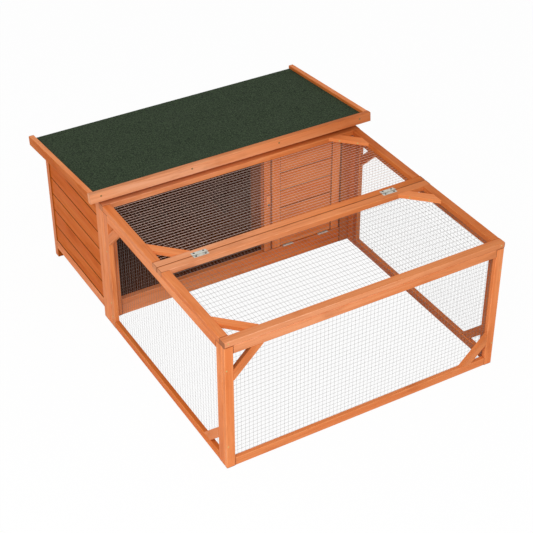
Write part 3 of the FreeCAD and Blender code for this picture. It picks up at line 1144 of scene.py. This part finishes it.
@dataclass
class Run(Assembly):
    """The wire run: front and side panels, link posts and the fixed half of the top.

    cross_rails has each rail's tone, depth and painted fall-off of the light to the right.
    """

    stile_nail_inset: float = 0.0055
    stile_nail_heights: Pair = (0.0793, 0.3517)
    side_nails: tuple[Pair, ...] = ((0.1298, 0.287), (0.1289, 0.0896), (0.126, 0.0378), (0.0315, 0.0277))
    front_pitches: Pair = (0.0140, 0.0127)
    side_pitches: Pair = (0.0164, 0.0134)
    side_radii: Pair = (0.00023, 0.00009)
    top_radii: Pair = (0.00052, 0.00017)
    cross_rails: tuple[tuple[str, float, float, float], ...] = (
        ("front_top_rail", 1.0, -0.8, 0.4), ("front_bottom_rail", 0.93, 0.1, 0.0),
        ("top_front_rail", 1.0, -0.4, 1.2), ("top_rear_rail", 1.02, -0.5, 0.9),
    )

    def dress(self) -> None:
        """Finish the panels' sticks."""
        # Each rail's fall-off is a painted fall-off of the light to the right.
        for node, tone, depth, fade in self.cross_rails:
            self.paint(node, timber(node, Grain.ALONG_X, tone, depth=depth, fade=fade))
        # The rail's face towards the lid gets painted shade for the gap.
        seam_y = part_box("top_front_rail")[0].y + self.seam_depth
        self.paint_part("top_front_rail", SEAM_SHADE, lambda centre, normal: centre.y < seam_y)
        # The tones per side are painted light and shade: lighter left stiles and right front stile, darker
        # upper sides of the bottom rails.
        self.dress_side(Side.LEFT, ledge_tone=0.8, stile_tone=1.05, front_tone=1.0)
        self.dress_side(Side.RIGHT, ledge_tone=0.74, stile_tone=1.0, front_tone=1.15)
        self.shade_right_panel()
        self.paint("front_braces", timber("front_braces", Grain.FRONT_BRACE))
        # The top-left brace's side towards the corner is darker: painted shade.
        gap = TimberFinish("shaded_front_brace", Grain.FRONT_BRACE, seed=2.2, tone=0.4, depth=0.6)
        to_corner = looks(tuple(Vector((-1.0, 0.0, 1.0)).normalized()), 0.85)
        self.paint_part(
            "front_braces", gap, lambda centre, normal: centre.x < 0.0 and to_corner(centre, normal)
        )
        self.paint("top_braces", timber("top_braces", Grain.TOP_BRACE))
        self.paint("top_side_rails", timber("top_side_rails", Grain.ALONG_Y))
        # The right rail is darker: painted shade where the light falls off to the right.
        right_rail = timber("top_right_rail", Grain.ALONG_Y, tone=0.75, depth=1.0)
        self.paint_part("top_side_rails", right_rail, on_right)
        self.paint("run_posts", timber("run_posts", Grain.UPRIGHT, tone=1.06))
        shaded_post = timber("shaded_post", Grain.UPRIGHT, tone=0.74, depth=0.8)
        self.paint_part("run_posts", shaded_post, on_right)
        self.paint_part("right_stile_rear", shaded_post, looks(FRONT, 0.5))

    def dress_side(self, side: Side, ledge_tone: float, stile_tone: float, front_tone: float) -> None:
        """Finish one side panel and the front stile beside it.

        Args:
            side: Which side it is.
            ledge_tone: How light the bottom rail's upper side is, made darker as painted shade.
            stile_tone: How light the panel's stiles are, set per side as painted light.
            front_tone: How light the front stile is, set per side as painted light.
        """
        word = side.value
        self.paint(f"{word}_top_rail", timber(f"{word}_top_rail", Grain.ALONG_Y))
        rail = f"{word}_bottom_rail"
        # The bottom rail is darker, and its upper side darker still: painted shade.
        self.paint(rail, timber(rail, Grain.ALONG_Y, tone=0.9, depth=0.9, gloss=0.05))
        ledge = timber(f"{word}_ledge", Grain.ALONG_Y, ledge_tone, depth=0.9, gloss=0.05)
        self.paint_part(rail, ledge, looks(UP))
        for stile, tone in (
            (f"{word}_stile_front", stile_tone), (f"{word}_stile_rear", stile_tone),
            (f"front_stile_{word}", front_tone),
        ):
            self.paint(stile, timber(stile, Grain.UPRIGHT, tone))
        self.paint(f"{word}_braces", timber(f"{word}_braces", Grain.SIDE_BRACE))

    def shade_right_panel(self) -> None:
        """Darken the right panel's inner side, which lies in shade in the photograph."""
        for part, grain in (
            ("top_rail", Grain.ALONG_Y), ("bottom_rail", Grain.ALONG_Y), ("stile_front", Grain.UPRIGHT),
            ("stile_rear", Grain.UPRIGHT), ("braces", Grain.SIDE_BRACE),
        ):
            shaded = TimberFinish(f"shaded_right_{part}", grain, seed=3.3, tone=0.62, depth=1.2)
            self.paint_part(f"right_{part}", shaded, looks(LEFT))

    def build(self) -> None:
        """Model the four nets and the nail heads of the panels."""
        WireNet(self, "front_net", Axis.Y, 1.0, pitches=self.front_pitches).build()
        for node, inward in (("left_net", 1.0), ("right_net", -1.0)):
            WireNet(self, node, Axis.X, inward, Axis.Z, self.side_pitches, self.side_radii).build()
        WireNet(self, "top_net", Axis.Z, -1.0, radii=self.top_radii, finish=LIT_WIRE).build()
        places: Places = []
        for sign, out in zip(BOTH_SIDES, (LEFT, RIGHT)):
            x = sign * (self.half_width - self.stile_nail_inset)
            places += [((x, self.front_nail_y, z), FRONT) for z in self.stile_nail_heights]
            places += [((sign * self.half_width, y, z), out) for y, z in self.side_nails]
        self.drive_nails("run_nails", places + BraceNails("top_braces").places(), NAIL)


@dataclass
class Lid(Assembly):
    """The lifting front half of the run's top."""

    body: Body = Body.LID
    end_nail_inset: float = 0.0125
    end_nail_z: float = 0.441
    net_pitches: Pair = (0.0192, 0.0111)
    net_radii: Pair = (0.00035, 0.00028)

    def dress(self) -> None:
        """Finish the lid's sticks."""
        # The front rail's front faces are paler, a painted sheen, and its top faces darker, painted shade;
        # both fall off to the right as painted light.
        front = timber("lid_front_rail", Grain.ALONG_X, tone=0.97, end=0.8, depth=-1.1, fade=0.5)
        self.paint("lid_front_rail", front)
        front_top = timber("lid_front_top", Grain.ALONG_X, tone=0.93, depth=-0.1, fade=0.3)
        self.paint_part("lid_front_rail", front_top, looks(UP))
        self.paint("lid_rear_rail", timber("lid_rear_rail", Grain.ALONG_X, tone=1.03, depth=-0.6, fade=0.8))
        # The rail's face towards the fixed top gets painted shade for the gap.
        seam_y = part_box("lid_rear_rail")[1].y - self.seam_depth
        self.paint_part("lid_rear_rail", SEAM_SHADE, lambda centre, normal: centre.y > seam_y)
        self.paint("lid_side_rails", timber("lid_side_rails", Grain.ALONG_Y))
        # The right rail is darker: painted shade where the light falls off to the right.
        right_rail = timber("lid_right_rail", Grain.ALONG_Y, tone=0.75, depth=1.0)
        self.paint_part("lid_side_rails", right_rail, on_right)
        self.paint("lid_braces", timber("lid_braces", Grain.TOP_BRACE))

    def build(self) -> None:
        """Model the lid's net and nail heads."""
        WireNet(self, "lid_net", Axis.Z, -1.0, Axis.X, self.net_pitches, self.net_radii).build()
        end_x = self.half_width - self.end_nail_inset
        places = [((sign * end_x, self.front_nail_y, self.end_nail_z), FRONT) for sign in BOTH_SIDES]
        self.drive_nails("lid_nails", places + BraceNails("lid_braces").places(), NAIL)


@dataclass
class House(Assembly):
    """The boarded house: front frame, walls, back, floor and partition.

    room_walls has the nodes whose side to the room is darker as painted shade, with the way that side faces
    and the grain.
    """

    # Painted shade: how dark the room's faces are made, with lighter values for the nodes listed below.
    room_shade_tone: float = 0.09
    inside_seed: float = 6.1
    matt: float = 0.03
    room_shade_tones: dict[str, float] = field(
        default_factory=lambda: {"wall_boards_left": 0.2, "house_rear_posts": 0.45}
    )
    room_walls: tuple[tuple[str, Triple, Grain], ...] = (
        ("back_boards", FRONT, Grain.ALONG_X), ("back_top_rail", FRONT, Grain.ALONG_X),
        ("house_rear_posts", FRONT, Grain.UPRIGHT), ("wall_boards_left", RIGHT, Grain.ALONG_Y),
        ("wall_boards_right", LEFT, Grain.ALONG_Y),
    )
    rear_rail_margin: float = 0.0005
    pop_hole_y: float = 0.33
    window_radii: Pair = (0.00021, 0.00018)

    def dress(self) -> None:
        """Finish the frame, the walls, the floor and the room, with painted shade darkening the room's
        faces, the partition and the floor.
        """
        for node, tone in (("house_stile_left", 1.05), ("house_rear_posts", 1.0)):
            self.paint(node, timber(node, Grain.UPRIGHT, tone))
        # The right stile and the mullion are darker as painted shade, with painted shade on their edges for
        # the gaps beside the door.
        for node, tone in (("house_stile_right", 0.64), ("house_mullion", 0.82)):
            self.paint(node, timber(node, Grain.UPRIGHT, tone, grime=0.7, depth=0.6))
        # The top rail's and the sill's fall-off is a painted fall-off of the light to the right.
        for node, fade in (("house_top_rail", 0.6), ("house_sill", 0.8), ("back_top_rail", 0.0)):
            self.paint(node, timber(node, Grain.ALONG_X, fade=fade))
        # The back and wall boards are darker, partly as stain and partly as painted shade, with painted
        # shade in the grooves between boards.
        self.paint("back_boards", timber("back_boards", Grain.ALONG_X, tone=0.84, grime=0.85, depth=1.2))
        for node in ("wall_boards_left", "wall_boards_right"):
            self.paint(node, timber(node, Grain.ALONG_Y, tone=0.82, grime=0.85, depth=1.5, gloss=self.matt))
        # The partition, its far part and the floor are darkened as painted shade in the room.
        self.paint("house_partition", timber("house_partition", Grain.UPRIGHT, tone=0.38, depth=1.2))
        far_partition_shade = TimberFinish(
            "far_partition", Grain.UPRIGHT, self.inside_seed, tone=0.05, depth=1.0, gloss=self.matt
        )
        self.paint_part("house_partition", far_partition_shade, lambda centre, normal: centre.y > self.pop_hole_y)
        floor = TimberFinish("floor_board", Grain.ALONG_Y, seed=4.2, tone=0.13, depth=1.2, gloss=self.matt)
        self.paint("house_floor", floor)
        self.dress_base_rails()
        # The faces towards the room get painted shade.
        for node, facing, grain in self.room_walls:
            tone = self.room_shade_tones.get(node, self.room_shade_tone)
            dark = TimberFinish(f"inside_{node}", grain, self.inside_seed, tone, depth=1.8, gloss=self.matt)
            self.paint_part(node, dark, looks(facing, 0.3))

    def dress_base_rails(self) -> None:
        """Finish the base rails, with the back one's grain along X and the side ones' along Y, and painted
        shade on their faces towards the room.
        """
        rails = "house_base_rails"
        self.paint(rails, timber("base_rails_side", Grain.ALONG_Y))
        back = timber("base_rail_back", Grain.ALONG_X)
        back_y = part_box("back_top_rail")[0].y - self.rear_rail_margin
        self.paint_part(rails, back, lambda centre, normal: centre.y > back_y)
        # The base rails' faces towards the room get painted shade.
        dark = TimberFinish(
            "inside_base_rails", Grain.ALONG_X, self.inside_seed, self.room_shade_tone, depth=1.4
        )
        to_front, to_top = looks(FRONT, 0.3), looks(UP)
        self.paint_part(
            rails, dark, lambda centre, normal: to_front(centre, normal) or to_top(centre, normal)
            or normal.x * centre.x < -0.1,
        )

    def build(self) -> None:
        """Model the window's net."""
        WireNet(self, "window_net", Axis.Y, 1.0, radii=self.window_radii, finish=ROOM_WIRE).build()


@dataclass
class Door(Assembly):
    """The boarded door and its turn button."""

    body: Body = Body.DOOR

    def dress(self) -> None:
        """Finish the door and the button."""
        # The door's edges get painted shade for the dark gaps and grooves between its boards and stiles.
        for node in ("door_stile_left", "door_stile_right"):
            self.paint(node, timber(node, Grain.UPRIGHT, tone=0.92, grime=0.8, depth=0.5))
        self.paint("door_boards", timber("door_boards", Grain.ALONG_X, tone=0.86, grime=0.7, depth=0.5))
        self.paint("turn_button", timber("turn_button", Grain.UPRIGHT, tone=1.04))


@dataclass
class Roof(Assembly):
    """The felted roof with its battens. The front batten leans with the roof, and so do its nails."""

    body: Body = Body.ROOF
    nail_y: float = 0.13392
    nail_z: float = 0.4877
    nail_out: Triple = (0.0, -0.9962, 0.0872)
    nail_x: tuple[float, ...] = (-0.4644, -0.158, 0.1528, 0.4576)

    def dress(self) -> None:
        """Finish the battens, the deck and the felt."""
        front = "roof_front_batten"
        # The front batten's front is paler, a painted highlight, its top darker, painted shade, and both
        # fall off to the right as painted light.
        pale = timber(front, Grain.ALONG_X, tone=1.02, joints=False, end=0.0, depth=-1.8, fade=1.1)
        self.paint(front, pale)
        front_top = timber("front_batten_top", Grain.ALONG_X, tone=0.84, depth=-0.3, fade=0.8)
        self.paint_part(front, front_top, looks(UP, 0.7))
        self.paint("roof_side_battens", timber("roof_side_battens", Grain.ALONG_Y))
        # The side battens' side faces are darker: painted shade.
        side = timber("side_batten_face", Grain.ALONG_Y, tone=0.78, depth=1.0, gloss=0.03)
        self.paint_part("roof_side_battens", side, lambda centre, normal: abs(normal.x) > 0.7)
        self.paint("roof_deck", TimberFinish("deck_board", Grain.ALONG_X, seed=2.7, tone=0.9, stain=0.3))
        self.paint("roof_felt", FELT)

    def build(self) -> None:
        """Model the front batten's nail heads."""
        places = [((x, self.nail_y, self.nail_z), self.nail_out) for x in self.nail_x]
        self.drive_nails("roof_nails", places, DULL_NAIL)


@dataclass
class Hardware(Assembly):
    """The hinges and their screws."""

    leaf_thickness: float = 0.0012
    lid_hinge_x: float = 0.325
    screw_out: float = 0.0079
    screw_along: float = 0.0155
    roof_hinge_x: float = 0.320
    roof_screw_z: float = 0.4239
    roof_screw_along: float = 0.019

    def dress(self) -> None:
        """Finish the hinges and the button's screw."""
        leaves = ("hinge_fixed_leaves", "lid_hinge_leaves", "door_hinge_leaves", "roof_hinge_leaves")
        for node in (*leaves, "hinge_pins"):
            self.paint(node, ZINC)
        self.paint("turn_button_screw", SCREW)

    @staticmethod
    def screw_x(hinge_x: float, along: float) -> list[float]:
        """Give the places across the hutch of the screws of a pair of hinges."""
        return [side * hinge_x + end * along for side in BOTH_SIDES for end in BOTH_SIDES]

    def build(self) -> None:
        """Model the screws of the lid's and the roof's hinges, each set on the body that it holds."""
        lid_x = self.screw_x(self.lid_hinge_x, self.screw_along)
        roof_x = self.screw_x(self.roof_hinge_x, self.roof_screw_along)
        axis_y = next(joint for joint in frame["joints"] if joint["name"] == "lid_lift")["pos_m"][1]
        rear_y, front_y = axis_y + self.screw_out, axis_y - self.screw_out
        top_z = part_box("lid_hinge_leaves")[0].z + self.leaf_thickness
        back_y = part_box("house_rear_posts")[1].y + self.leaf_thickness
        pattern = self.fasteners.screw()
        for body, name, places in (
            (Body.HUTCH, "hutch_hinge_screws", [((x, rear_y, top_z), UP) for x in lid_x]),
            (Body.LID, "lid_hinge_screws", [((x, front_y, top_z), UP) for x in lid_x]),
            (Body.HUTCH, "roof_hinge_screws", [((x, back_y, self.roof_screw_z), BACK) for x in roof_x]),
        ):
            self.body = body
            self.keep(self.fasteners.spread(pattern, name, places), SCREW, Slot.ZINC)
        Bench.remove(pattern)


@dataclass
class Studio:
    """Plain white studio: floor, soft light and the photograph's camera."""

    eye: Triple = (-1.76317, -3.09581, 2.68952)
    azimuth: float = -30.049
    elevation: float = 35.550
    roll: float = 0.157
    lens: float = 92.41
    sky: float = 0.58
    key_power: float = 130.0
    key_place: Triple = (-2.3, -3.0, 3.3)
    key_aim: Triple = (0.0, -0.1, 0.2)
    key_size: float = 2.2
    floor_size: float = 40.0
    floor_z: float = -0.0002
    floor_grey: float = 0.9
    shadow_share: float = 0.04
    white: tuple[float, float, float, float] = (1.0, 1.0, 1.0, 1.0)

    def camera(self) -> None:
        """Set the camera where the photograph was taken from."""
        data = bpy.data.cameras.new("photo_camera")
        data.lens = self.lens
        made = bpy.data.objects.new("photo_camera", data)
        bpy.context.scene.collection.objects.link(made)
        turn = Matrix.Rotation(math.radians(self.azimuth), 4, "Z")
        tilt = Matrix.Rotation(math.radians(90.0 - self.elevation), 4, "X")
        roll = Matrix.Rotation(math.radians(-self.roll), 4, "Z")
        made.matrix_world = Matrix.Translation(self.eye) @ turn @ tilt @ roll
        bpy.context.scene.camera = made

    @staticmethod
    def seen(graph: Graph) -> Socket:
        """Tell rays that show the background from those that light the hutch.

        Args:
            graph: The graph of the floor or of the surroundings.

        Returns:
            1 for camera, glossy and transmission rays, otherwise 0.
        """
        path = graph.node("LightPath").outputs
        shown = graph.math("MAXIMUM", path["Is Camera Ray"], path["Is Glossy Ray"])
        return graph.math("MAXIMUM", shown, path["Is Transmission Ray"])

    def floor(self) -> None:
        """Lay a white floor that keeps a faint shadow."""
        Bench.clear()
        bpy.ops.mesh.primitive_plane_add(size=self.floor_size, location=(0.0, 0.0, self.floor_z))
        made = Bench.settle(Bench.name("studio_floor"))
        finish = bpy.data.materials.new("studio_floor")
        finish.use_nodes = True
        graph = Graph(finish.node_tree)
        grey = (self.floor_grey, self.floor_grey, self.floor_grey, 1.0)
        matt = graph.node("BsdfDiffuse", {"Color": grey}).outputs[0]
        white = graph.node("Emission", {"Color": self.white, "Strength": 1.0}).outputs[0]
        shadowed = graph.node("MixShader", {0: self.shadow_share, 1: white, 2: matt}).outputs[0]
        shown = graph.node("MixShader", {0: self.seen(graph), 1: matt, 2: shadowed}).outputs[0]
        graph.node("OutputMaterial", {"Surface": shown})
        made.data.materials.append(finish)

    def light(self) -> None:
        """Set the soft key light and the white surroundings."""
        data = bpy.data.lights.new("key", "AREA")
        data.shape = "SQUARE"
        data.size = self.key_size
        data.energy = self.key_power
        made = bpy.data.objects.new("key", data)
        bpy.context.scene.collection.objects.link(made)
        made.location = self.key_place
        aim = Vector(self.key_aim) - Vector(self.key_place)
        made.rotation_euler = aim.to_track_quat("-Z", "Y").to_euler()
        world = bpy.data.worlds.new("studio")
        world.use_nodes = True
        graph = Graph(world.node_tree)
        dim = graph.node("Background", {"Color": self.white, "Strength": self.sky}).outputs[0]
        white = graph.node("Background", {"Color": self.white, "Strength": 1.0}).outputs[0]
        shown = graph.node("MixShader", {0: self.seen(graph), 1: dim, 2: white}).outputs[0]
        graph.node("OutputWorld", {"Surface": shown})
        bpy.context.scene.world = world

    def build(self) -> None:
        """Make the camera, the floor, the light and the plain view transform."""
        self.camera()
        self.floor()
        self.light()
        bpy.context.scene.view_settings.view_transform = "Standard"


def main() -> None:
    """Dress and complete the hutch, sub-assembly by sub-assembly, and set up the studio."""
    logging.basicConfig(level=logging.INFO, format="%(name)s: %(message)s")
    effects = Effects()
    for kind in (Run, Lid, House, Door, Roof, Hardware):
        log.info("building %s", kind.__name__)
        assembly = kind(effects)
        assembly.dress()
        assembly.build()
    Studio().build()


if __name__ == "__main__":
    main()
